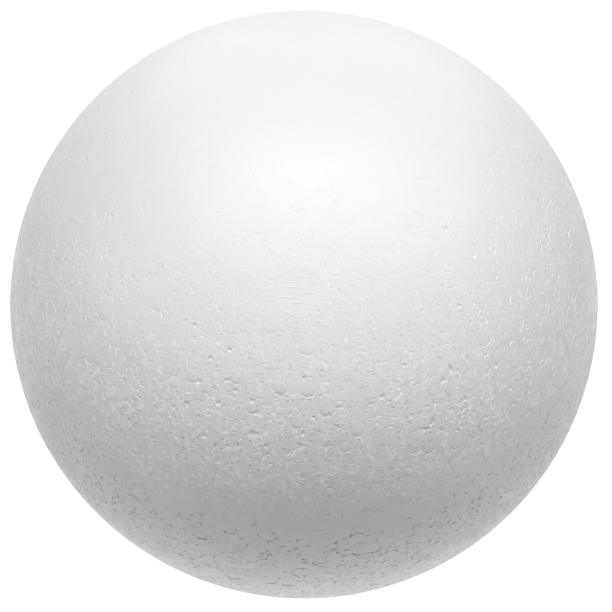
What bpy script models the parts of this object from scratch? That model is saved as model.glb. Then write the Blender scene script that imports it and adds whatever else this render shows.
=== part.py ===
"""A moulded ball of expanded polystyrene, with the mark that one slotted mould vent left on it.

Metres, +Z up, origin at the ball's centre. The front of the ball faces -Y.
"""

import math

import bmesh
import bpy
from mathutils import Matrix

# The ball.
BALL_DIAMETER = 0.150
CELLS_PER_SIDE = 24  # of the cube that is blown up into the ball, an even number

# The vent's mark: a shallow round recess with a flat floor, in the ball's front.
VENT_DIAMETER = 0.012
VENT_DEPTH = 0.00015  # from the recess's rim down to its floor
VENT_SEGMENTS = 48
VENT_AZIMUTH = -0.8  # degrees from the front towards +X
VENT_ELEVATION = 10.2  # degrees above the ball's waist
VENT_ROLL = -1.5  # degrees that the ridges turn from level

# The ridges on the recess's floor, where the foam swelled into the vent's slots.
RIDGE_PITCH = 0.00125
RIDGE_WIDTH = 0.0004
RIDGE_HEIGHT = 0.0001
RIDGE_END_GAP = 0.0006  # between a ridge's end and the recess's wall

# How far a cutting or adding shape reaches past the face that it meets.
OVERREACH = 0.001

SHARP_EDGE = math.radians(30)


def clear_scene():
    for item in list(bpy.data.objects):
        bpy.data.objects.remove(item, do_unlink=True)


def foam_material():
    """White foam with the soft gloss of the beads' moulded skin."""
    material = bpy.data.materials.new("polystyrene")
    material.use_nodes = True
    shader = material.node_tree.nodes["Principled BSDF"]
    shader.inputs["Base Color"].default_value = (0.90, 0.90, 0.90, 1.0)
    shader.inputs["Roughness"].default_value = 0.45
    shader.inputs["Metallic"].default_value = 0.0
    return material


def add_object(name, mesh_maker):
    """A new object whose mesh holds what mesh_maker builds in a bmesh."""
    shape = bmesh.new()
    mesh_maker(shape)
    mesh = bpy.data.meshes.new(name)
    shape.to_mesh(mesh)
    shape.free()
    made = bpy.data.objects.new(name, mesh)
    bpy.context.collection.objects.link(made)
    return made


def ball_shape(shape):
    """A cube cut into even cells, whose points are then pushed out onto the ball."""
    bmesh.ops.create_cube(shape, size=2.0)
    bmesh.ops.subdivide_edges(
        shape, edges=shape.edges[:], cuts=CELLS_PER_SIDE - 1, use_grid_fill=True
    )
    for point in shape.verts:
        # The tangent keeps the cells at the cube's corners as large as the others.
        for axis in range(3):
            point.co[axis] = math.tan(point.co[axis] * math.pi / 4)
        point.co = point.co.normalized() * BALL_DIAMETER / 2


def floor_distance():
    """From the ball's centre to the flat floor of the vent's mark."""
    rim_distance = math.sqrt((BALL_DIAMETER / 2) ** 2 - (VENT_DIAMETER / 2) ** 2)
    return rim_distance - VENT_DEPTH


def vent_placing():
    """The vent's own frame: +Z out of the ball, +X along the ridges, origin on the floor."""
    turn = Matrix.Rotation(math.radians(VENT_AZIMUTH), 4, "Z")
    tilt = Matrix.Rotation(math.radians(90 - VENT_ELEVATION), 4, "X")
    roll = Matrix.Rotation(math.radians(VENT_ROLL), 4, "Z")
    out = Matrix.Translation((0, 0, floor_distance()))
    return turn @ tilt @ roll @ out


def recess_shape(shape):
    """The space of the recess, from its floor to past the ball's surface."""
    height = BALL_DIAMETER / 2 - floor_distance() + OVERREACH
    bmesh.ops.create_cone(
        shape,
        cap_ends=True,
        segments=VENT_SEGMENTS,
        radius1=VENT_DIAMETER / 2,
        radius2=VENT_DIAMETER / 2,
        depth=height,
        matrix=Matrix.Translation((0, 0, height / 2)),
    )


def ridges_shape(shape):
    """Straight bars side by side, each as long as the round recess allows at its place."""
    reach = VENT_DIAMETER / 2 - RIDGE_END_GAP
    steps = int((reach - RIDGE_WIDTH) / RIDGE_PITCH)
    foot = OVERREACH
    for step in range(-steps, steps + 1):
        offset = step * RIDGE_PITCH
        outer_edge = abs(offset) + RIDGE_WIDTH / 2
        length = 2 * math.sqrt(reach**2 - outer_edge**2)
        middle = Matrix.Translation((0, offset, (RIDGE_HEIGHT - foot) / 2))
        size = Matrix.Diagonal((length, RIDGE_WIDTH, RIDGE_HEIGHT + foot, 1))
        bmesh.ops.create_cube(shape, size=1.0, matrix=middle @ size)


def combine(target, tool, operation):
    """Cut the tool out of the target, or add it to the target, and remove the tool."""
    modifier = target.modifiers.new(tool.name, "BOOLEAN")
    modifier.operation = operation
    modifier.object = tool
    modifier.solver = "EXACT"
    bpy.context.view_layer.update()
    evaluated = target.evaluated_get(bpy.context.evaluated_depsgraph_get())
    result = bpy.data.meshes.new_from_object(evaluated)
    target.modifiers.remove(modifier)
    target.data = result
    bpy.data.objects.remove(tool, do_unlink=True)


def make_ball():
    ball = add_object("ball", ball_shape)

    recess = add_object("vent_recess", recess_shape)
    recess.matrix_world = vent_placing()
    combine(ball, recess, "DIFFERENCE")

    ridges = add_object("vent_ridges", ridges_shape)
    ridges.matrix_world = vent_placing()
    combine(ball, ridges, "UNION")

    ball.data.name = "ball"
    ball.data.materials.clear()
    ball.data.materials.append(foam_material())
    ball.data.shade_smooth()
    ball.data.set_sharp_from_angle(angle=SHARP_EDGE)
    return ball


clear_scene()
make_ball()
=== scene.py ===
"""The polystyrene ball dressed as the real one: fused beads, a slotted vent mark and fine wear."""

import math

import bpy
import numpy as np
from mathutils import Matrix, Vector, noise
from mathutils.geometry import delaunay_2d_cdt
from mathutils.kdtree import KDTree


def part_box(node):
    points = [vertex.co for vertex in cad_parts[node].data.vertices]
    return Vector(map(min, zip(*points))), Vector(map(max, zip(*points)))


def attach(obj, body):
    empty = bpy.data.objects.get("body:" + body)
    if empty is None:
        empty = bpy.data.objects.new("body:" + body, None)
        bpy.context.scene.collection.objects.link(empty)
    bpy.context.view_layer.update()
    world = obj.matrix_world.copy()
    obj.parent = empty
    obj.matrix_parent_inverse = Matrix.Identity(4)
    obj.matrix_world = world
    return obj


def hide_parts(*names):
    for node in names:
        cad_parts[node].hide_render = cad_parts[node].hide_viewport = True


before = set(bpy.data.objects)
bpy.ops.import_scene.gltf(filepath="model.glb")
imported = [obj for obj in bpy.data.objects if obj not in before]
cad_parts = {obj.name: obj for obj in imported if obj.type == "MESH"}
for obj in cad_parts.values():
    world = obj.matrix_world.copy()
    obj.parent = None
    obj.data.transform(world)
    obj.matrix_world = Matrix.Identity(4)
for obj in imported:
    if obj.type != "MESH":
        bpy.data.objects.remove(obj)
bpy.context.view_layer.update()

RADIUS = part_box("ball")[1].x

# The photograph's frame, in pixels, and where the ball lies in it.
PHOTO_SIDE = 612
PHOTO_CENTRE = (303.94, 304.43)
PHOTO_RADIUS = 294.12

# The camera, in metres and degrees.
CAMERA_DISTANCE = 1.2
CAMERA_ELEVATION = 8.0

# The vent's mark, with the place and sizes that it has in the solid model, but for its depth.
VENT_RADIUS = 0.006
VENT_DEPTH = 0.00009  # from the rim to the floor, nearly flush as in the photograph
VENT_AZIMUTH = -0.8  # degrees from the front towards the right
VENT_ELEVATION = 10.2
VENT_ROLL = -1.5  # degrees that the ridges turn from level
VENT_SEGMENTS = 48
VENT_WALL = 0.0005  # how far the recess's wall leans in from its rim to its floor
VENT_MARGIN = 0.0002  # bare foam round the rim, up to the beads
RIDGE_PITCH = 0.00125
RIDGE_WIDTH = 0.0004
RIDGE_HEIGHT = 0.0001
RIDGE_END_GAP = 0.0006
RIDGE_STEP = 0.0008  # between points along a ridge
RIDGE_WAVE = 700.0  # of a ridge's height along it, in radians per metre
RIDGE_SHIFT = 2.4  # of that wave from one ridge to the next, in radians

# The large beads that show, each by its place in the photograph and its diameter.
LARGE_BEADS = (
    (272, 322, 0.0060),
    (274, 356, 0.0055),
    (308, 345, 0.0055),
    (327, 409, 0.0046),
    (308, 390, 0.0041),
    (297, 423, 0.0036),
    (280, 388, 0.0036),
    (251, 409, 0.0029),
    (236, 378, 0.0032),
    (484, 338, 0.0046),
    (508, 338, 0.0036),
    (103, 313, 0.0040),
    (157, 305, 0.0034),
    (433, 393, 0.0024),
)

# Small holes where a bead is missing, each by its place in the photograph and its diameter.
HOLES = (
    (252.0, 433.5, 0.0018),
    (436.0, 403.0, 0.0011),
    (303.0, 477.0, 0.0014),
    (341.0, 497.0, 0.0011),
    (330.0, 497.5, 0.0012),
    (404.5, 365.0, 0.0011),
    (443.5, 381.0, 0.0012),
    (451.0, 368.5, 0.0011),
    (433.0, 422.0, 0.0013),
    (411.5, 416.0, 0.0012),
    (450.0, 410.0, 0.0012),
    (458.5, 306.0, 0.0009),
    (382.5, 397.0, 0.0012),
    (389.0, 401.5, 0.0009),
    (466.0, 398.5, 0.0011),
    (468.0, 358.5, 0.0009),
    (487.0, 365.0, 0.0009),
    (495.5, 366.5, 0.0009),
    (487.5, 373.0, 0.0009),
    (425.0, 429.5, 0.0010),
    (460.5, 426.5, 0.0010),
    (194.0, 325.0, 0.0010),
    (186.0, 320.5, 0.0009),
    (230.0, 350.0, 0.0010),
    (210.5, 358.0, 0.0009),
    (228.0, 380.0, 0.0010),
    (235.5, 390.5, 0.0013),
    (200.0, 381.5, 0.0009),
    (187.0, 404.0, 0.0011),
    (219.0, 403.5, 0.0011),
    (253.0, 400.5, 0.0010),
    (256.5, 413.5, 0.0009),
    (237.5, 446.0, 0.0013),
    (205.0, 436.5, 0.0010),
    (215.0, 446.0, 0.0010),
    (266.0, 446.0, 0.0010),
    (302.5, 433.5, 0.0012),
    (326.5, 447.0, 0.0011),
    (300.0, 445.5, 0.0012),
)

# Patches that are full of pits, each by its place in the photograph and its radius.
PATCHES = (
    (265.0, 487.0, 0.0030),
    (200.0, 405.0, 0.0055),
    (491.0, 369.0, 0.0035),
    (451.0, 407.0, 0.0030),
    (437.0, 376.0, 0.0025),
)
PATCH_DIP_SHARE = 0.85

# Straight creases in the skin, each from pixel to pixel of the photograph, with its depth.
CREASES = (
    ((423.6, 342.8), (444.6, 363.5), 0.00013),
    ((387.0, 337.0), (401.0, 331.6), 0.00014),
    ((405.5, 327.5), (415.0, 323.8), 0.00016),
    ((404.5, 312.0), (404.0, 320.0), 0.00012),
    ((455.0, 330.0), (452.0, 343.0), 0.00012),
    ((249.0, 497.0), (258.5, 505.5), 0.00010),
    ((247.0, 358.0), (255.5, 359.5), 0.00018),
    ((257.0, 362.5), (264.0, 364.0), 0.00020),
    ((266.0, 368.5), (273.0, 370.0), 0.00022),
    ((283.0, 347.5), (296.5, 350.0), 0.00010),
    ((285.0, 325.0), (303.0, 333.0), 0.00014),
)
CREASE_REACH = 0.00012  # how far a crease reaches into the beads beside it
CREASE_PITCH = 0.0009  # of the small beads along a crease
CREASE_STAGGER = 0.00012  # between the beads on its two sides
CREASE_CLEAR = CREASE_PITCH / 4  # corners nearer than this lie on the crease

# The other beads.
SEED = 20
BEAD_DIAMETER = 0.0018  # the median
BEAD_SPREAD = 0.38  # of the logarithm of the diameter
BEAD_LIMITS = (0.0008, 0.0038)
BEADS_DRAWN = 1.5  # for each one that would do, if all had the median size
COVER = 0.90  # the share of the ball's surface under the beads' round faces
SETTLING_ROUNDS = 10
SETTLING_GAP = BEAD_DIAMETER / 4  # beads further apart than this are left out of a round
STEPS_PER_ROUND = 14
PUSH = 0.6  # the share of an overlap that one step undoes
NEAR = 0.0022  # beads further apart than this never share a joint
NEIGHBOUR_COUNTS = (10, 12, 14, 17, 21, 28, 40, 64, 110, 180)  # beads are grouped by how many are near
CHUNK = 3_000_000  # about how many numbers are worked on at once
ROUNDING = 1e-12  # how far past a plane rounding may put a point, as a share of the radius
UPRIGHT = 0.9  # directions whose height is beyond this count as upright

# The beads' faces.
DOMED_ABOVE = 0.0033  # beads wider than this may bulge
DOMED_BELOW = 0.05  # the height, as a share of the radius, below which they do
DOMED_SHARE = 0.25  # of those
DOME_RINGS = ((0.95, 0.72), (0.80, 0.28), (0.55, 0.05))  # shares of the radius and of the depth
DOME_DEPTH = (0.00002, 0.00034)  # on the side that bulges least and most
DOME_CURVE = 1.5  # how sharply it rises from the one side to the other
FACE_LEAN = math.radians(0.6)  # how far the beads' faces lean, as a standard deviation
SHORTEST_EDGE = 0.00015

# The joints between beads: nearly flush, with dips and pits where beads did not quite meet.
JOINT_DEPTH = (0.0, 0.00002)
DIP_REACH = (0.00011, 0.00034)  # how far a dip reaches into the beads round it
DIP_STEEPNESS = (0.6, 1.15)  # a dip's depth as a share of its reach, where the foam is roughest
DIP_EASE = 0.4  # how steep dips are where it is smoothest, as a share of that
DIP_SLUMP = 0.45  # how much further it reaches into the bead above, and less into the one below
DIP_SAG = 0.28  # how far a dip's deepest point lies below its middle, as a share of its reach
DIP_UNEVENNESS = (0.8, 1.3)  # of its reach, from bead to bead
DIP_LIMIT = 0.6  # the furthest that it reaches, as a share of the way to a bead's middle
AXIS = (310.0, 59.0)  # where the ball's own axis leaves it in the photograph, at its smooth end
ZONES = (  # places along the axis, as shares of the radius, and the share of corners dipped there
    (-1.00, 0.08),
    (-0.27, 0.06),
    (-0.17, 0.18),
    (-0.05, 0.66),
    (0.10, 0.78),
    (0.35, 0.52),
    (0.55, 0.37),
    (0.75, 0.07),
    (0.90, 0.02),
    (1.00, 0.02),
)
PARTED_SHARE = 0.6  # of the pairs of neighbouring shallow dips, one of which is taken away
PIT_REACH = (0.00014, 0.00034)
PIT_STEEPNESS = (1.2, 2.0)
PIT_SHARE = 0.75  # of the dips low down, that are deep enough to be pits
LOW_AXIS = (302.0, 268.0)  # in the photograph, the middle of the round outside which the pits lie
LOW_ZONES = (  # places along that axis, and the share of corners that are pits or dips there
    (-1.00, 0.08),
    (-0.30, 0.25),
    (0.15, 0.92),
    (0.46, 0.92),
    (0.57, 0.00),
)
LOW_FADE = (0.22, 0.36)  # how far down they begin and are all there, as shares of the radius
FLANK = (508.0, 262.0)  # in the photograph, the middle of a rougher flank
FLANK_FADE = (0.026, 0.042)  # the distances over which it ends
FLANK_SHARE = 3.2  # how many times as many dips it has
NOISE_SCALE = 45.0  # of the noise that gives some stretches more dips than others, per metre
NOISE_SHARE = 1.3  # how strongly it does
NOISE_LIMITS = (0.15, 2.0)  # the fewest and most dips there, against none of that noise
HOLE_DEPTH = 0.00035
HOLE_SHARE = 0.7  # of a hole's width that is its floor
HOLES_BELOW = 0.0012  # beads narrower than this may be missing
MISSING_SHARE = 0.08  # of those with more than one dipped corner

# The foam's skin. Scales are per metre.
SKIN_WHITE = (0.85, 0.85, 0.85, 1.0)
SKIN_ROUGHNESS = (0.36, 0.52)  # of the beads with the most and the least sheen
HIGHLIGHT_WHITE = (0.98, 0.98, 0.98, 1.0)  # painted highlight: the whiter colour inside the dips and fine pits, standing in for the light that they catch
HIGHLIGHT_POWER = 0.8  # how fast the painted highlight fades where fewer corners are dipped
HIGHLIGHT_EDGE = (0.25, 0.60)  # the painted highlight's value where the white begins and where it is full
FINE_PIT_SHARE = 0.55  # of the corners, where most are dipped
FINE_PIT_SIZE = (0.6, 1.0)  # at the corner, and falling to 0 at the other points of its faces
FINE_PIT_EDGE = 0.45  # the size at which such a pit ends
FINE_PIT_DEPTH = 0.00014
FINE_PIT_STRENGTH = 0.8
GROOVE_SHARE = 0.28  # of a bead's radius
GROOVE_DEPTH = 0.000035
GROOVE_SCALE = 350.0
GROOVE_NOISE = (0.35, 0.70)  # the noise where a groove is faintest and where it is full
GROOVE_FAINT = 0.1
GROOVE_SMOOTH = 0.3  # how strong grooves are where the foam is smooth
PINHOLE_SCALE = 1100.0
PINHOLE_SIZE = (0.00002, 0.00080)  # from its middle to its edge
PINHOLE_SHARE = 0.65  # of the noise's cells, that have one
PINHOLE_SLUMP = 1.8  # how much steeper a pinhole's lower side is
PINHOLE_DEPTH = 0.00024
CRINKLE_SCALE = 1500.0
CRINKLE_HEIGHT = 0.00005
CRINKLE_PATCH_SCALE = 60.0
CRINKLE_NOISE = (0.42, 0.62)  # the noise where the crinkles are faintest and where they are full
CRINKLE_FAINT = 0.25

# The studio's floor, as other surfaces see it, and as the camera and gloss see it.
FLOOR_HALF = 20.0  # of its side
FLOOR_BOUNCE = 0.30
POOL_GLOW = 0.47  # of the pool of painted light that glows on the floor under the ball, though no lamp lights it
POOL_CENTRE = (0.0, 0.03)
POOL_FADE = (0.065, 0.115)  # distances from its centre
FLOOR_GREY = 0.85
FLOOR_LIFT = (0.70, 1.00)
LIFT_FADE = (0.25, 1.20)  # distances from the ball

# The soft lamps: azimuth from the front towards the right, elevation, watts, width and height.
LAMPS = {
    "key_right": (25, 50, 5.3, 0.8, 0.8),
    "key_left": (-25, 50, 5.9, 0.8, 0.8),
    "side_right": (60, 35, 3.2, 0.8, 0.8),
    "side_left": (-75, 10, 1.6, 0.5, 0.3),
    "back_left": (-150, 50, 2.1, 0.8, 0.8),
    "back_right": (150, 50, 1.7, 0.8, 0.8),
}
BACK_FILL = (180, 8, 7.0, 1.2, 1.2)  # a lamp that leaves no gloss
LAMP_DISTANCE = 1.2

# A wide lamp that lies just above the floor in front of the ball and shines up.
LOW_LAMP_PLACE = (0.0, -0.42, 0.01)  # its height is above the floor
LOW_LAMP_SIZE = (3.0, 0.35)
LOW_LAMP_POWER = 5.3

ROUGHEST = max(share for _, share in ZONES)  # the share of dips where the foam is roughest

rng = np.random.default_rng(SEED)


def unit(vectors):
    return vectors / np.linalg.norm(vectors, axis=-1, keepdims=True)


def view_axes():
    """The camera's right, up and backward directions at the photograph's angle."""
    tilt = math.radians(CAMERA_ELEVATION)
    right = np.array((1.0, 0.0, 0.0))
    back = np.array((0.0, -math.cos(tilt), math.sin(tilt)))
    return right, np.cross(back, right), back


def focal_pixels():
    """The camera's focal length in pixels, from the ball's outline in the photograph."""
    return PHOTO_RADIUS / math.tan(math.asin(RADIUS / CAMERA_DISTANCE))


def from_photo(x, y):
    """The direction from the ball's centre to the point of its surface seen at a pixel."""
    right, up, back = view_axes()
    ray = right * (x - PHOTO_CENTRE[0]) + up * (PHOTO_CENTRE[1] - y) - back * focal_pixels()
    ray = unit(ray)
    start = back * CAMERA_DISTANCE
    middle = ray @ start
    reach = -middle - math.sqrt(middle**2 - CAMERA_DISTANCE**2 + RADIUS**2)
    return (start + ray * reach) / RADIUS


def vent_placing():
    """The vent's own frame: +Z out of the ball, +X along the ridges, origin at the ball's centre."""
    turn = Matrix.Rotation(math.radians(VENT_AZIMUTH), 3, "Z")
    tilt = Matrix.Rotation(math.radians(90 - VENT_ELEVATION), 3, "X")
    roll = Matrix.Rotation(math.radians(VENT_ROLL), 3, "Z")
    return np.array(turn @ tilt @ roll)


def even_directions(count):
    """Directions spread evenly over a ball, along a golden spiral."""
    steps = np.arange(count) + 0.5
    height = 1 - 2 * steps / count
    turn = steps * math.pi * (3 - math.sqrt(5))
    ring = np.sqrt(1 - height**2)
    return np.stack((ring * np.cos(turn), ring * np.sin(turn), height), axis=1)


def crease_beads():
    """Pairs of small beads whose joints make each crease, and where the creases run."""
    places, lines = [], []
    for start, end, depth in CREASES:
        start, end = from_photo(*start), from_photo(*end)
        length = np.linalg.norm(end - start) * RADIUS
        steps = max(2, round(length / CREASE_PITCH))
        side = unit(np.cross(start + end, end - start)) * CREASE_PITCH / RADIUS / 2
        stagger = unit(end - start) * CREASE_STAGGER / RADIUS
        for step in range(steps + 1):
            middle = start + (end - start) * step / steps
            places.extend((unit(middle + side + stagger), unit(middle - side)))
        lines.append((start, end, depth))
    return places, lines


def throw_beads():
    """Centres as directions, face radii, and how many of the first ones are fixed in place."""
    creased, _ = crease_beads()
    placed = [vent_placing()[:, 2]] + [from_photo(x, y) for x, y, _ in LARGE_BEADS + HOLES]
    sizes = [VENT_RADIUS + VENT_MARGIN] + [wide / 2 for _, _, wide in LARGE_BEADS + HOLES]
    placed.extend(creased)
    sizes.extend([CREASE_PITCH / 2] * len(creased))
    to_cover = COVER * 4 * RADIUS**2 - sum(size**2 for size in sizes)
    plenty = int(to_cover / (BEAD_DIAMETER / 2) ** 2 * BEADS_DRAWN)
    drawn = BEAD_DIAMETER * np.exp(rng.normal(0.0, BEAD_SPREAD, plenty))
    drawn = drawn.clip(*BEAD_LIMITS) / 2
    drawn = drawn[: np.searchsorted(np.cumsum(drawn**2), to_cover)]
    spread = even_directions(len(drawn))
    rng.shuffle(drawn)
    centres = np.concatenate((np.array(placed), spread))
    return centres, np.concatenate((sizes, drawn)), len(placed)


def near_pairs(centres, radii, gap):
    """Pairs of beads less than the gap apart, the larger one first, and how far apart they are."""
    places = centres * RADIUS
    tree = KDTree(len(places))
    for index, place in enumerate(places):
        tree.insert(place, index)
    tree.balance()
    first, second = [], []
    for index, (place, radius) in enumerate(zip(places, radii.tolist())):
        for _, other, _ in tree.find_range(place, 2 * radius + gap):
            first.append(index)
            second.append(other)
    first, second = np.array(first), np.array(second)
    smaller = (radii[second] < radii[first]) | ((radii[second] == radii[first]) & (second > first))
    first, second = first[smaller], second[smaller]
    apart = np.linalg.norm(places[first] - places[second], axis=1) - radii[first] - radii[second]
    close = apart < gap
    return first[close], second[close], apart[close]


def settle(centres, radii, fixed):
    """Beads that overlap push each other away along the ball, small ones more than large ones."""
    count = len(centres)
    weight = radii**2
    weight[:fixed] = 1.0
    for _ in range(SETTLING_ROUNDS):
        first, second, _ = near_pairs(centres, radii, SETTLING_GAP)
        share = weight[second] / (weight[first] + weight[second])
        for _ in range(STEPS_PER_ROUND):
            between = (centres[first] - centres[second]) * RADIUS
            distance = np.linalg.norm(between, axis=1)
            overlap = np.maximum(radii[first] + radii[second] - distance, 0.0)
            push = between * (PUSH * overlap / distance)[:, None]
            move = np.empty_like(centres)
            for axis in range(3):
                move[:, axis] = np.bincount(first, push[:, axis] * share, count)
                move[:, axis] -= np.bincount(second, push[:, axis] * (1 - share), count)
            move[:fixed] = 0.0
            centres = unit(centres * RADIUS + move)
    return centres


def meeting_points(centres, radii):
    """Where three beads meet: the triples of beads, and each meeting point's direction.

    Each bead's round face lies in a plane. The planes bound a many-sided solid, and the
    corners of that solid are the points where the joints between the beads meet.
    """
    count = len(centres)
    lifted = centres / np.cos(radii / RADIUS)[:, None]
    first, second, apart = near_pairs(centres, radii, NEAR)
    owner = np.concatenate((first, second))
    other = np.concatenate((second, first))
    order = np.lexsort((np.concatenate((apart, apart)), owner))
    owner, other = owner[order], other[order]
    counts = np.bincount(owner, minlength=count)
    starts = np.concatenate(([0], np.cumsum(counts)[:-1]))
    keys = []
    lower = 0
    for size in NEIGHBOUR_COUNTS:
        cells = np.flatnonzero((counts > lower) & (counts <= size))
        lower = size
        side_a, side_b = np.triu_indices(size, 1)
        chunk = max(1, CHUNK // size**3)
        for begin in range(0, len(cells), chunk):
            here = cells[begin : begin + chunk]
            valid = np.arange(size) < counts[here][:, None]
            places = np.minimum(starts[here][:, None] + np.arange(size), len(other) - 1)
            near = np.where(valid, other[places], here[:, None])
            away = lifted[near] - lifted[here][:, None]
            normal = np.cross(away[:, side_a], away[:, side_b])
            facing = np.einsum("npk,nk->np", normal, lifted[here])
            normal *= np.sign(facing)[..., None]
            highest = np.matmul(normal, away.transpose(0, 2, 1)).max(axis=2)
            size_of = np.linalg.norm(normal, axis=2)
            real = valid[:, side_a] & valid[:, side_b] & (highest <= ROUNDING * size_of)
            cell, pair = np.nonzero(real)
            found = np.stack((here[cell], near[cell, side_a[pair]], near[cell, side_b[pair]]))
            found.sort(axis=0)
            keys.append((found[0] * count + found[1]) * count + found[2])
    keys, seen = np.unique(np.concatenate(keys), return_counts=True)
    keys = keys[seen == 3]
    if len(keys) != 2 * count - 4:
        raise ValueError(f"{len(keys)} meeting points for {count} beads")
    triples = np.stack((keys // count**2, keys // count % count, keys % count), axis=1)
    a, b, c = (lifted[triples[:, column]] for column in range(3))
    normal = np.cross(b - a, c - a)
    normal *= np.sign((normal * a).sum(axis=1))[:, None]
    return triples, unit(normal)


def cell_outlines(centres, triples, corners):
    """For each bead, its corners' indices, anticlockwise as seen from outside."""
    owner = triples.ravel()
    corner = np.repeat(np.arange(len(corners)), 3)
    out = centres[owner]
    upright = np.abs(out[:, 2:]) >= UPRIGHT
    side = unit(np.cross(np.where(upright, (1.0, 0.0, 0.0), (0.0, 0.0, 1.0)), out))
    up = np.cross(out, side)
    place = corners[corner]
    angle = np.arctan2((place * up).sum(axis=1), (place * side).sum(axis=1))
    order = np.lexsort((angle, owner))
    owner, corner = owner[order], corner[order]
    ends = np.cumsum(np.bincount(owner, minlength=len(centres)))
    return np.split(corner, ends[:-1])


def merge_close_corners(corners, outlines):
    """Corners less than the shortest edge apart become one, in the outlines too."""
    keeper = np.arange(len(corners))
    flat = np.concatenate(outlines)
    following = np.concatenate([np.roll(outline, -1) for outline in outlines])
    length = np.linalg.norm(corners[flat] - corners[following], axis=1) * RADIUS
    short = (length < SHORTEST_EDGE) & (flat < following)
    for a, b in zip(flat[short], following[short]):
        while keeper[a] != a:
            a = keeper[a]
        while keeper[b] != b:
            b = keeper[b]
        keeper[max(a, b)] = min(a, b)
    for index in range(len(keeper)):
        keeper[index] = keeper[keeper[index]]
    total = np.stack([np.bincount(keeper, corners[:, axis], len(corners)) for axis in range(3)], axis=1)
    merged = unit(np.where(np.abs(total).sum(axis=1, keepdims=True) > 0, total, corners))
    shorter = []
    for outline in outlines:
        kept = keeper[outline]
        shorter.append(kept[kept != np.roll(kept, -1)])
    return merged, shorter


class Skin:
    """The points and faces of the ball's surface as they are made."""

    def __init__(self):
        self.points = []
        self.joint = []  # 0 at a joint between beads, 1 in the middle of a bead's face
        self.pit = []  # how large a fine pit is at a corner, 0 without one
        self.painted_highlight = []  # a painted highlight that whitens the foam, 1 at the bottom of a shallow dip
        self.faces = []
        self.bead = []  # the bead that each face belongs to
        self.sharp = []  # pairs of points
        self.lean = {}  # how the flats lean away from the round of the ball

    def add(self, place, joint=1.0, pit=0.0, painted_highlight=0.0):
        self.points.append(place)
        self.joint.append(joint)
        self.pit.append(pit)
        self.painted_highlight.append(painted_highlight)
        return len(self.points) - 1

    def face(self, points, bead, lean=None):
        if lean is not None:
            self.lean[len(self.faces)] = lean
        self.faces.append(tuple(points))
        self.bead.append(bead)

    def band(self, outer, inner, bead):
        """The four-sided faces between two rings that have as many points."""
        for k in range(len(outer)):
            following = (k + 1) % len(outer)
            self.face((outer[k], outer[following], inner[following], inner[k]), bead)


def add_bead(skin, bead, outline, ground, reach):
    """One flush bead's face inside its outline, less what its dipped corners take."""
    count = len(outline)
    centre = unit(ground.mean(axis=0))
    offsets = ground - centre
    inner = list(outline)
    for k in np.flatnonzero(reach > 0.0):
        length = np.linalg.norm(offsets[k])
        slump = 1.0 - DIP_SLUMP * offsets[k][2] / length
        share = reach[k] * slump * rng.uniform(*DIP_UNEVENNESS) / RADIUS / length
        share = min(share, DIP_LIMIT)
        inner[k] = skin.add(unit(centre + offsets[k] * (1.0 - share)) * RADIUS, share)
    middle = skin.add(centre * RADIUS)
    lean = rng.normal(0.0, math.tan(FACE_LEAN), 3)
    for k in range(count):
        following = (k + 1) % count
        around = (outline[k], outline[following], inner[following], inner[k])
        shoulder = tuple(dict.fromkeys(around))
        if len(shoulder) > 2:
            skin.face(shoulder, bead)
            skin.sharp.append((inner[k], inner[following]))
        skin.face((inner[k], inner[following], middle), bead, lean)


def add_hole(skin, bead, outline, ground):
    """A small hole with a flat floor, where a bead is missing."""
    centre = unit(ground.mean(axis=0))
    floor = unit(centre + (ground - centre) * HOLE_SHARE) * (RADIUS - HOLE_DEPTH)
    ring = [skin.add(place) for place in floor]
    skin.band(outline, ring, bead)
    skin.face(ring, bead)


def add_dome(skin, bead, centre, radius, outline, ground, depth):
    """A large bead that bulges out as far as its outline lies deep."""
    count = len(outline)
    offsets = ground - centre
    round_share = radius / RADIUS / np.linalg.norm(offsets, axis=1)
    outer = outline
    for share, depth_share in DOME_RINGS:
        shares = np.minimum(share, share * round_share)
        places = unit(centre + offsets * shares[:, None]) * (RADIUS - depth * depth_share)[:, None]
        ring = [skin.add(place) for place in places]
        skin.band(outer, ring, bead)
        outer = ring
    middle = skin.add(centre * RADIUS)
    for k in range(count):
        skin.face((outer[k], outer[(k + 1) % count], middle), bead)


def circle(radius, count):
    turns = np.arange(count) * 2 * math.pi / count
    return radius * np.stack((np.cos(turns), np.sin(turns)), axis=1)


def bar_loop(length, width, offset):
    """Points round a straight bar along X, in steps along its sides."""
    steps = max(2, round(length / RIDGE_STEP))
    along = np.linspace(-length / 2, length / 2, steps + 1)
    low = np.stack((along, np.full(steps + 1, offset - width / 2)), axis=1)
    high = np.stack((along[::-1], np.full(steps + 1, offset + width / 2)), axis=1)
    return np.concatenate((low, high))


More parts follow.
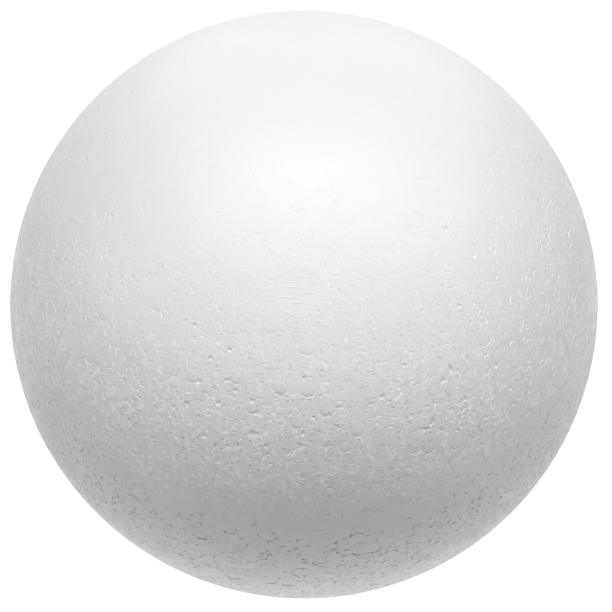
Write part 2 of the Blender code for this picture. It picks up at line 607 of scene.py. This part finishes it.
def add_vent(skin, joints):
    """The vent's mark inside its ring of beads: a rim, a wall, a flat floor and its ridges."""
    placing = vent_placing()
    rim = math.sqrt(RADIUS**2 - VENT_RADIUS**2)
    floor = rim - VENT_DEPTH
    border = np.array([skin.points[joint] for joint in joints]) @ placing
    flat_places = [border[:, :2]]
    numbers = list(joints)
    loops = [np.arange(len(joints))]

    def add_loop(places, heights):
        loops.append(np.arange(len(places)) + len(numbers))
        flat_places.append(places)
        for (x, y), height in zip(places, heights):
            numbers.append(skin.add(placing @ (x, y, height)))

    add_loop(circle(VENT_RADIUS, VENT_SEGMENTS), np.full(VENT_SEGMENTS, rim))
    add_loop(circle(VENT_RADIUS - VENT_WALL, VENT_SEGMENTS), np.full(VENT_SEGMENTS, floor))
    reach = VENT_RADIUS - RIDGE_END_GAP
    steps = int((reach - RIDGE_WIDTH) / RIDGE_PITCH)
    for step in range(-steps, steps + 1):
        offset = step * RIDGE_PITCH
        length = 2 * math.sqrt(reach**2 - (abs(offset) + RIDGE_WIDTH / 2) ** 2)
        foot = bar_loop(length, RIDGE_WIDTH, offset)
        add_loop(foot, np.full(len(foot), floor))
        top = bar_loop(length - RIDGE_WIDTH, RIDGE_WIDTH / 2, offset)
        swell = (0.5 + 0.5 * np.sin(top[:, 0] * RIDGE_WAVE + step * RIDGE_SHIFT)) ** 2
        add_loop(top, floor + RIDGE_HEIGHT * swell)
    flat = np.concatenate(flat_places)
    edges = []
    for index, loop in enumerate(loops):
        pairs = list(zip(loop.tolist(), np.roll(loop, -1).tolist()))
        edges.extend(pairs)
        if index > 2:
            skin.sharp.extend((numbers[a], numbers[b]) for a, b in pairs)
    outer = loops[0].tolist()
    inside_only = 1
    nearest = 1e-7
    flat = [Vector(place) for place in flat]
    found = delaunay_2d_cdt(flat, edges, [outer], inside_only, nearest, True)
    _, _, faces, sources, _, _ = found
    for face in faces:
        skin.face([numbers[sources[corner][0]] for corner in face], 0)


def low_share(directions):
    """The share of corners that are dipped because they lie low on the ball."""
    places, shares = zip(*LOW_ZONES)
    low = np.interp(-directions[:, 2], LOW_FADE, (0.0, 1.0))
    return low * np.interp(directions @ from_photo(*LOW_AXIS), places, shares)


def zone_share(directions):
    """The share of corners that are dipped, in the zone where each direction lies."""
    places, shares = zip(*ZONES)
    upper = np.interp(directions @ from_photo(*AXIS), places, shares)
    return np.maximum(upper, low_share(directions))


def roughness(directions):
    """How rough the foam is in the zone where each direction lies, from 0 to 1."""
    return np.minimum(zone_share(directions) / ROUGHEST, 1.0)


def part_dips(dipped, deep, outlines):
    """Takes away one of two dips next to each other: wherever one is a pit, and at times elsewhere."""
    first = np.concatenate(outlines)
    second = np.concatenate([np.roll(outline, -1) for outline in outlines])
    rank = rng.random(len(dipped))
    chance = np.where(deep[first] | deep[second], 1.0, PARTED_SHARE)
    parted = dipped[first] & dipped[second] & (first < second) & (rng.random(len(first)) < chance)
    lower = np.where(rank[first] < rank[second], first, second)[parted]
    dipped[lower] = False
    deep[lower] = False


def joint_depths(corners, outlines, domes, centres):
    """How deep each corner where beads meet lies, and how far its dip reaches, 0 without one."""
    count = len(corners)
    depth = rng.uniform(*JOINT_DEPTH, count)
    chance = zone_share(corners)
    pitted = low_share(corners) / chance
    away = np.linalg.norm(corners - from_photo(*FLANK), axis=1) * RADIUS
    chance *= np.interp(away, FLANK_FADE, (FLANK_SHARE, 1.0))
    cloud = [noise.noise(Vector(corner) * RADIUS * NOISE_SCALE) for corner in corners]
    chance *= (1.0 + NOISE_SHARE * np.array(cloud)).clip(*NOISE_LIMITS)
    for x, y, radius in PATCHES:
        inside = np.linalg.norm(corners - from_photo(x, y), axis=1) * RADIUS < radius
        chance[inside] = PATCH_DIP_SHARE
    dipped = rng.random(count) < chance
    deep = dipped & (rng.random(count) < PIT_SHARE * pitted)
    part_dips(dipped, deep, outlines)
    reach = np.where(dipped, rng.uniform(*DIP_REACH, count), 0.0)
    reach[deep] = rng.uniform(*PIT_REACH, deep.sum())
    steepness = rng.uniform(*DIP_STEEPNESS, count)
    steepness *= DIP_EASE + (1.0 - DIP_EASE) * roughness(corners)
    steepness[deep] = rng.uniform(*PIT_STEEPNESS, deep.sum())
    depth[dipped] = (reach * steepness)[dipped]
    for dome in domes:
        around = unit(corners[outlines[dome]] - centres[dome])
        low_side = np.array((0.0, 0.0, -1.0)) if dome <= len(LARGE_BEADS) else rng.normal(size=3)
        low_side = unit(low_side - (low_side @ centres[dome]) * centres[dome])
        bulge = (0.5 + 0.5 * around @ low_side) ** DOME_CURVE
        depth[outlines[dome]] = DOME_DEPTH[0] + (DOME_DEPTH[1] - DOME_DEPTH[0]) * bulge
        reach[outlines[dome]] = DIP_REACH[0]
    for start, end, crease_depth in crease_beads()[1]:
        way = unit(end - start)
        along = (corners - start) @ way * RADIUS
        aside = np.linalg.norm(np.cross(corners - start, way), axis=1) * RADIUS
        length = np.linalg.norm(end - start) * RADIUS
        on_line = (along > -CREASE_CLEAR) & (along < length + CREASE_CLEAR)
        on_line &= aside < CREASE_CLEAR
        depth[on_line] = crease_depth
        reach[on_line] = CREASE_REACH
        beside = (along > -CREASE_PITCH) & (along < length + CREASE_PITCH) & ~on_line
        beside &= aside < CREASE_PITCH
        depth[beside] = 0.0
        reach[beside] = 0.0
    return depth, reach


def fine_pits(corners, reach):
    """How large a fine pit each corner has, 0 for none and where the corner is dipped."""
    count = len(corners)
    size = rng.uniform(*FINE_PIT_SIZE, count)
    size[rng.random(count) > FINE_PIT_SHARE * roughness(corners)] = 0.0
    size[reach > 0] = 0.0
    return size


def build_skin():
    """The whole surface, bead by bead, and each bead's radius."""
    centres, radii, fixed = throw_beads()
    centres = settle(centres, radii, fixed)
    triples, corners = meeting_points(centres, radii)
    outlines = cell_outlines(centres, triples, corners)
    corners, outlines = merge_close_corners(corners, outlines)
    first_hole = 1 + len(LARGE_BEADS)
    domed = (2 * radii > DOMED_ABOVE) & (rng.random(len(radii)) < DOMED_SHARE)
    domed &= centres[:, 2] < DOMED_BELOW
    domed[1:first_hole] = True
    domed[0] = False
    depth, reach = joint_depths(corners, outlines, np.flatnonzero(domed), centres)
    pits = fine_pits(corners, reach)
    holes = np.zeros(len(radii), dtype=bool)
    holes[first_hole : first_hole + len(HOLES)] = True
    skin = Skin()
    number = np.full(len(corners), -1)
    down = np.array((0.0, 0.0, -1.0)) + corners * corners[:, 2:]
    places = unit(corners + down * (reach * DIP_SAG / RADIUS)[:, None]) * (RADIUS - depth)[:, None]
    # Painted highlight: dips and fine pits get whiter foam, except in the low zone of pits, and it
    # fades where the foam is smoother.
    painted_highlight = np.maximum(reach > 0, pits) * (low_share(corners) < LOW_ZONES[0][1])
    painted_highlight *= roughness(corners) ** HIGHLIGHT_POWER
    for corner in np.unique(np.concatenate(outlines)):
        number[corner] = skin.add(places[corner], 0.0, pits[corner], painted_highlight[corner])
    for bead, outline in enumerate(outlines):
        if len(outline) < 3:
            continue
        joints = number[outline].tolist()
        if bead == 0:
            add_vent(skin, joints)
            continue
        skin.sharp.extend(zip(joints, joints[1:] + joints[:1]))
        if bead >= fixed and 2 * radii[bead] < HOLES_BELOW and (reach[outline] > 0).sum() > 1:
            holes[bead] = rng.random() < MISSING_SHARE
        ground = corners[outline]
        if holes[bead]:
            add_hole(skin, bead, joints, ground)
        elif domed[bead]:
            add_dome(skin, bead, centres[bead], radii[bead], joints, ground, depth[outline])
        else:
            add_bead(skin, bead, joints, ground, reach[outline])
    return skin, radii


def flat_normals(skin, mesh):
    """Normals for the flats' corners that follow the ball's round; zero keeps a plain normal."""
    points = np.array(skin.points)
    normals = np.zeros((len(mesh.loops), 3))
    for index, lean in skin.lean.items():
        face = skin.faces[index]
        start = mesh.polygons[index].loop_start
        normals[start : start + len(face)] = unit(points[list(face)] / RADIUS + lean)
    return normals


def make_ball():
    """The foam's mesh, with the values that its material reads at the points and faces."""
    skin, radii = build_skin()
    mesh = bpy.data.meshes.new("foam_ball")
    mesh.from_pydata(np.array(skin.points).tolist(), [], skin.faces)
    rough = roughness(unit(np.array(skin.points)))
    at_points = {"joint": skin.joint, "pit": skin.pit, "painted_highlight": skin.painted_highlight, "rough": rough}
    for name, values in at_points.items():
        mesh.attributes.new(name, "FLOAT", "POINT").data.foreach_set("value", values)
    tone = rng.random(len(radii))[skin.bead]
    mesh.attributes.new("tone", "FLOAT", "FACE").data.foreach_set("value", tone)
    mesh.shade_smooth()
    edges = np.empty(2 * len(mesh.edges), dtype=np.int64)
    mesh.edges.foreach_get("vertices", edges)
    edges = np.sort(edges.reshape(-1, 2), axis=1)
    sharp = np.sort(np.array(skin.sharp), axis=1)
    count = len(skin.points)
    is_sharp = np.isin(edges[:, 0] * count + edges[:, 1], sharp[:, 0] * count + sharp[:, 1])
    mesh.edges.foreach_set("use_edge_sharp", is_sharp)
    mesh.normals_split_custom_set(flat_normals(skin, mesh))
    ball = bpy.data.objects.new("foam_ball", mesh)
    bpy.context.collection.objects.link(ball)
    return ball


def node_maker(tree):
    """A function that adds a node, sets its values and links its inputs."""

    def add(kind, inputs=None, **settings):
        node = tree.nodes.new(kind)
        for name, value in settings.items():
            setattr(node, name, value)
        for key, value in (inputs or {}).items():
            if isinstance(value, bpy.types.NodeSocket):
                tree.links.new(value, node.inputs[key])
            else:
                node.inputs[key].default_value = value
        return node

    return add


def new_material(name):
    material = bpy.data.materials.new(name)
    material.use_nodes = True
    material.node_tree.nodes.clear()
    return material, node_maker(material.node_tree)


def remap(add, value, source, target, **settings):
    """A node's output that runs over the target range as the value does over the source range."""
    inputs = {
        "Value": value,
        "From Min": source[0],
        "From Max": source[1],
        "To Min": target[0],
        "To Max": target[1],
    }
    return add("ShaderNodeMapRange", inputs, **settings).outputs["Result"]


def bump_of(add, height, distance, strength, below=None):
    """A bump's output, which adds to the one below it."""
    inputs = {"Height": height, "Distance": distance, "Strength": strength}
    if below is not None:
        inputs["Normal"] = below
    return add("ShaderNodeBump", inputs).outputs["Normal"]


def groove_bump(add, place, rough):
    """Faint grooves along the joints, which come and go."""
    joint = add("ShaderNodeAttribute", attribute_name="joint").outputs["Fac"]
    across = remap(add, joint, (0.0, GROOVE_SHARE), (0.0, 1.0), interpolation_type="SMOOTHSTEP")
    uneven = add("ShaderNodeTexNoise", {"Vector": place, "Scale": GROOVE_SCALE, "Detail": 1.0})
    open_share = remap(add, uneven.outputs["Fac"], GROOVE_NOISE, (GROOVE_FAINT, 1.0))
    groove = add("ShaderNodeMath", {0: across, 1: open_share}, operation="MULTIPLY")
    strength = remap(add, rough, (0.0, 1.0), (GROOVE_SMOOTH, 1.0))
    return bump_of(add, groove.outputs[0], GROOVE_DEPTH, strength)


def fine_pit_bump(add, below):
    """Fine pits at some of the corners that aren't dipped."""
    pit = add("ShaderNodeAttribute", attribute_name="pit").outputs["Fac"]
    sunk = remap(add, pit, (FINE_PIT_EDGE, 1.0), (1.0, 0.0), interpolation_type="SMOOTHSTEP")
    return bump_of(add, sunk, FINE_PIT_DEPTH, FINE_PIT_STRENGTH, below)


def pinhole_bump(add, place, rough, below):
    """Pinholes scattered over the faces, each with a steeper lower side."""
    cells = add("ShaderNodeTexVoronoi", {"Vector": place, "Scale": PINHOLE_SCALE})
    offset = add("ShaderNodeVectorMath", {0: place, 1: cells.outputs["Position"]},
                 operation="SUBTRACT")
    apart = add("ShaderNodeSeparateXYZ", {"Vector": offset.outputs["Vector"]})
    under = add("ShaderNodeMath", {0: apart.outputs["Z"], 1: 0.0}, operation="MINIMUM")
    slumped = add("ShaderNodeMath", {0: under.outputs[0], 1: PINHOLE_SLUMP, 2: apart.outputs["Z"]},
                  operation="MULTIPLY_ADD")
    leaning = add("ShaderNodeCombineXYZ", {"X": apart.outputs["X"], "Y": apart.outputs["Y"],
                                           "Z": slumped.outputs[0]})
    away = add("ShaderNodeVectorMath", {0: leaning.outputs["Vector"]}, operation="LENGTH")
    size = remap(add, cells.outputs["Color"], (1.0 - PINHOLE_SHARE, 1.0), PINHOLE_SIZE)
    pinhole = remap(add, away.outputs["Value"], (0.0, size), (0.0, 1.0),
                    interpolation_type="SMOOTHSTEP")
    return bump_of(add, pinhole, PINHOLE_DEPTH, rough, below)


def crinkle_bump(add, place, rough, below):
    """Crinkles in patches, strongest where the foam is rough."""
    crinkle = add("ShaderNodeTexNoise", {"Vector": place, "Scale": CRINKLE_SCALE, "Detail": 2.0})
    patches = add("ShaderNodeTexNoise", {"Vector": place, "Scale": CRINKLE_PATCH_SCALE,
                                         "Detail": 2.0})
    patchy = remap(add, patches.outputs["Fac"], CRINKLE_NOISE, (CRINKLE_FAINT, 1.0))
    strength = add("ShaderNodeMath", {0: rough, 1: patchy}, operation="MULTIPLY")
    return bump_of(add, crinkle.outputs["Fac"], CRINKLE_HEIGHT, strength.outputs[0], below)


def foam_material():
    """White foam with a fine relief, a sheen that differs between beads, and dips whitened by a painted
    highlight.
    """
    material, add = new_material("polystyrene")
    place = add("ShaderNodeTexCoord").outputs["Object"]
    rough = add("ShaderNodeAttribute", attribute_name="rough").outputs["Fac"]
    normal = groove_bump(add, place, rough)
    normal = fine_pit_bump(add, normal)
    normal = pinhole_bump(add, place, rough, normal)
    normal = crinkle_bump(add, place, rough, normal)
    tone = add("ShaderNodeAttribute", attribute_name="tone").outputs["Fac"]
    gloss = remap(add, tone, (0.0, 1.0), SKIN_ROUGHNESS)
    # Painted highlight: the dips and fine pits are mixed towards a whiter colour.
    painted_highlight = add("ShaderNodeAttribute", attribute_name="painted_highlight").outputs["Fac"]
    highlit = remap(add, painted_highlight, HIGHLIGHT_EDGE, (0.0, 1.0))
    white = add("ShaderNodeMixRGB", {"Fac": highlit, "Color1": SKIN_WHITE, "Color2": HIGHLIGHT_WHITE})
    shader = add("ShaderNodeBsdfPrincipled", {"Roughness": gloss, "Normal": normal,
                                              "Base Color": white.outputs["Color"]})
    add("ShaderNodeOutputMaterial", {"Surface": shader.outputs["BSDF"]})
    return material


def make_camera():
    """The camera at the photograph's angle, with the ball's outline where the photograph has it."""
    _, _, back = view_axes()
    camera = bpy.data.objects.new("camera", bpy.data.cameras.new("camera"))
    bpy.context.collection.objects.link(camera)
    camera.location = Vector(back) * CAMERA_DISTANCE
    camera.rotation_euler = (math.radians(90 - CAMERA_ELEVATION), 0.0, 0.0)
    camera.data.sensor_width = 36.0
    camera.data.lens = focal_pixels() / PHOTO_SIDE * camera.data.sensor_width
    camera.data.shift_x = (PHOTO_SIDE / 2 - PHOTO_CENTRE[0]) / PHOTO_SIDE
    camera.data.shift_y = (PHOTO_CENTRE[1] - PHOTO_SIDE / 2) / PHOTO_SIDE
    bpy.context.scene.camera = camera


def new_lamp(name, power, width, height):
    lamp = bpy.data.objects.new(name, bpy.data.lights.new(name, "AREA"))
    bpy.context.collection.objects.link(lamp)
    lamp.data.shape = "RECTANGLE"
    lamp.data.size = width
    lamp.data.size_y = height
    lamp.data.energy = power
    lamp.visible_camera = False
    return lamp


def add_lamp(name, azimuth, elevation, power, width, height):
    """A soft lamp that looks at the ball; azimuth 0 is the front, 90 is the right."""
    turn, rise = math.radians(azimuth), math.radians(elevation)
    way = Vector((math.sin(turn) * math.cos(rise), -math.cos(turn) * math.cos(rise), math.sin(rise)))
    lamp = new_lamp(name, power, width, height)
    lamp.location = way * LAMP_DISTANCE
    lamp.rotation_euler = way.to_track_quat("Z", "Y").to_euler()
    return lamp


def add_low_lamp():
    x, y, height = LOW_LAMP_PLACE
    lamp = new_lamp("low", LOW_LAMP_POWER, *LOW_LAMP_SIZE)
    lamp.location = (x, y, height - RADIUS)
    lamp.rotation_euler = (math.pi, 0.0, 0.0)


def make_floor():
    """The white floor: dull, with a glowing pool of painted light under the ball that lights it from
    below, and pale to the camera and gloss.
    """
    mesh = bpy.data.meshes.new("floor")
    corners = ((-FLOOR_HALF, -FLOOR_HALF), (FLOOR_HALF, -FLOOR_HALF),
               (FLOOR_HALF, FLOOR_HALF), (-FLOOR_HALF, FLOOR_HALF))
    mesh.from_pydata([(x, y, -RADIUS) for x, y in corners], [], [(0, 1, 2, 3)])
    floor = bpy.data.objects.new("floor", mesh)
    bpy.context.collection.objects.link(floor)
    material, add = new_material("floor")
    place = add("ShaderNodeTexCoord").outputs["Object"]
    path = add("ShaderNodeLightPath")
    seen = add("ShaderNodeMath", {0: path.outputs["Is Camera Ray"], 1: path.outputs["Is Glossy Ray"]},
               operation="MAXIMUM")
    from_pool = add("ShaderNodeVectorMath", {0: place, 1: (*POOL_CENTRE, -RADIUS)},
                    operation="DISTANCE")
    # Painted light: the floor glows in a pool under the ball to light its underside; the camera and
    # gloss don't see it.
    pool = remap(add, from_pool.outputs["Value"], POOL_FADE, (POOL_GLOW, 0.0))
    dull = add("ShaderNodeBsdfDiffuse", {"Color": (FLOOR_BOUNCE, FLOOR_BOUNCE, FLOOR_BOUNCE, 1.0)})
    glow = add("ShaderNodeEmission", {"Strength": pool})
    plain = add("ShaderNodeAddShader", {0: dull.outputs[0], 1: glow.outputs[0]})
    from_ball = add("ShaderNodeVectorMath", {0: place}, operation="LENGTH")
    raised = remap(add, from_ball.outputs["Value"], LIFT_FADE, FLOOR_LIFT)
    pale = add("ShaderNodeBsdfDiffuse", {"Color": (FLOOR_GREY, FLOOR_GREY, FLOOR_GREY, 1.0)})
    lift = add("ShaderNodeEmission", {"Strength": raised})
    white = add("ShaderNodeAddShader", {0: pale.outputs[0], 1: lift.outputs[0]})
    mix = add("ShaderNodeMixShader", {0: seen.outputs[0], 1: plain.outputs[0], 2: white.outputs[0]})
    add("ShaderNodeOutputMaterial", {"Surface": mix.outputs[0]})
    mesh.materials.append(material)


def make_world():
    """White to the camera and gloss, and no light from it on anything else."""
    world = bpy.data.worlds.new("studio")
    world.use_nodes = True
    world.node_tree.nodes.clear()
    add = node_maker(world.node_tree)
    path = add("ShaderNodeLightPath")
    seen = add("ShaderNodeMath", {0: path.outputs["Is Camera Ray"], 1: path.outputs["Is Glossy Ray"]},
               operation="MAXIMUM")
    background = add("ShaderNodeBackground", {"Color": (1.0, 1.0, 1.0, 1.0),
                                              "Strength": seen.outputs[0]})
    add("ShaderNodeOutputWorld", {"Surface": background.outputs["Background"]})
    bpy.context.scene.world = world


def main():
    scene = bpy.context.scene
    scene.view_settings.view_transform = "Standard"
    make_world()
    make_floor()
    make_camera()
    for name, lamp in LAMPS.items():
        add_lamp(name, *lamp)
    add_lamp("back_fill", *BACK_FILL).visible_glossy = False
    add_low_lamp()
    ball = make_ball()
    ball.data.materials.append(foam_material())
    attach(ball, "root")
    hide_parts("ball")


main()
